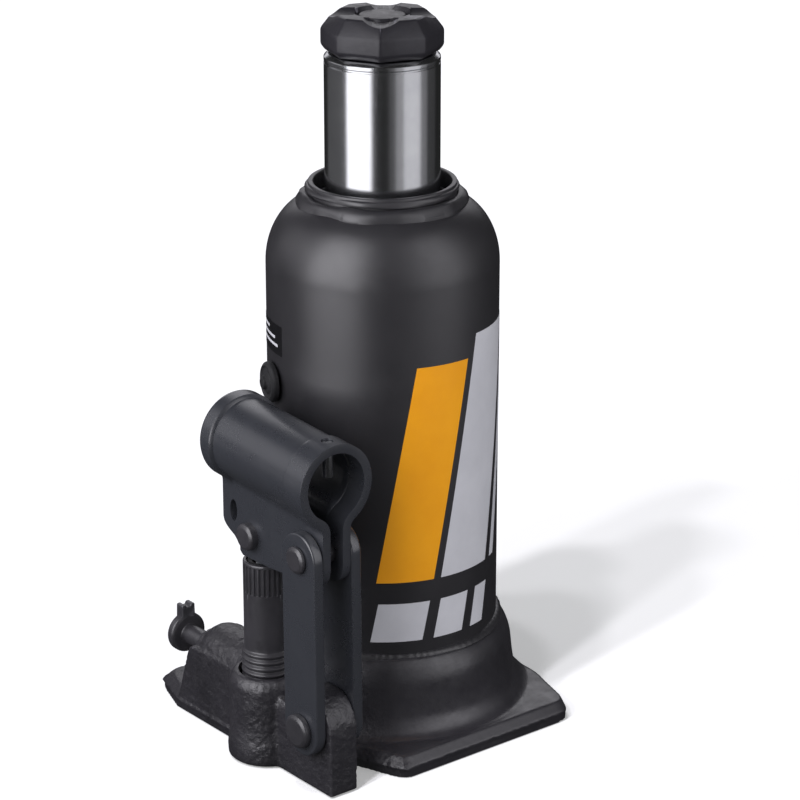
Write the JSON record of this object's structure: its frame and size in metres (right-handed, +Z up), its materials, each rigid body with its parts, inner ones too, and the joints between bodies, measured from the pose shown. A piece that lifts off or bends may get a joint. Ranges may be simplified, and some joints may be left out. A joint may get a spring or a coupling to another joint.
{
  "type": "bottle jack",
  "caption": "Hydraulic bottle jack with a hand pump and lever socket, release valve, chromed ram and screw-out saddle on a cast foot.",
  "frame": {"origin": "on the floor under the axis of the ram, at the middle of the reservoir tank", "axes": "+Z up along the ram; -Y towards the pump side; the handle goes into the socket from -X"},
  "size_m": [0.143, 0.1558, 0.3189],
  "materials": {
    "cast_paint": "dark grey paint over a rough sand casting, low sheen",
    "tank_paint": "satin charcoal paint, smooth",
    "lever_paint": "satin blue-grey paint over pressed steel",
    "black_oxide": "black oxide, semi-matt",
    "chrome": "polished hard chrome",
    "steel": "turned and ground steel",
    "rubber": "matt black rubber",
    "seal": "moulded seal, dull brown",
    "copper": "soft copper washer"
  },
  "bodies": {
    "base": {"base_casting": "cast_paint", "reservoir_tank": "tank_paint", "pressure_cylinder": "steel", "cylinder_gasket": "copper", "gland_nut": "black_oxide", "gland_seal": "seal", "ram_wiper": "rubber", "pump_cylinder": "black_oxide", "pump_gasket": "copper", "pump_wiper": "rubber", "outlet_check_ball": "steel", "inlet_check_ball": "steel", "release_valve_ball": "steel", "pressure_passage_plug": "black_oxide", "suction_passage_plug": "black_oxide", "release_passage_plug": "black_oxide"},
    "ram": {"ram": "chrome", "ram_wear_ring": "seal", "ram_cup_seal": "rubber", "cup_seal_retainer": "steel", "ram_nut": "steel"},
    "screw_ring": {"screw_stop_ring": "steel"},
    "extension_screw": {"extension_screw": "black_oxide"},
    "link": {"link_front": "lever_paint", "link_rear": "lever_paint", "lower_link_pin": "black_oxide", "lower_link_pin_clip": "steel", "upper_link_pin": "black_oxide", "upper_link_pin_clip": "steel"},
    "lever": {"handle_socket": "lever_paint", "socket_stop_pin": "steel", "piston_pin": "black_oxide", "piston_pin_clip": "steel"},
    "pump_piston": {"pump_piston": "steel", "pump_piston_seal": "seal"},
    "release_valve": {"release_valve_screw": "black_oxide", "release_valve_o_ring": "rubber"},
    "filler_plug": {"filler_plug": "rubber"}
  },
  "joints": [
    {"name": "ram_slide", "type": "slide", "parent": "base", "child": "ram", "axis": [0, 0, 1], "range_m": [-0.054, 0.096]},
    {"name": "screw_lift", "type": "slide", "parent": "ram", "child": "screw_ring", "axis": [0, 0, 1], "range_m": [0, 0.06]},
    {"name": "screw_turn", "type": "hinge", "parent": "screw_ring", "child": "extension_screw", "pos_m": [0, 0, 0.3], "axis": [0, 0, 1], "range_deg": [0, 4300]},
    {"name": "link_swing", "type": "hinge", "parent": "base", "child": "link", "pos_m": [0.052, -0.074, 0.029], "axis": [0, 1, 0], "range_deg": [-2.6, 0]},
    {"name": "lever_swing", "type": "hinge", "parent": "link", "child": "lever", "pos_m": [0.0512, -0.074, 0.1074], "axis": [0, 1, 0], "range_deg": [0, 34]},
    {"name": "pump_piston_slide", "type": "slide", "parent": "base", "child": "pump_piston", "axis": [0, 0, 1], "range_m": [0, 0.0213]},
    {"name": "release_valve_turn", "type": "hinge", "parent": "base", "child": "release_valve", "pos_m": [-0.05, -0.067, 0.03], "axis": [1, 0, 0], "range_deg": [0, 540]},
    {"name": "filler_plug_pull", "type": "slide", "parent": "base", "child": "filler_plug", "axis": [-0.2672, -0.9636, 0], "range_m": [0, 0.002]}
  ],
  "couplings": [
    {"joint": "screw_lift", "follows": "screw_turn", "m_per_rad": 0.00079577},
    {"joint": "link_swing", "follows": "lever_swing", "ratio": -0.0717},
    {"joint": "pump_piston_slide", "follows": "lever_swing", "m_per_rad": 0.035456}
  ]
}
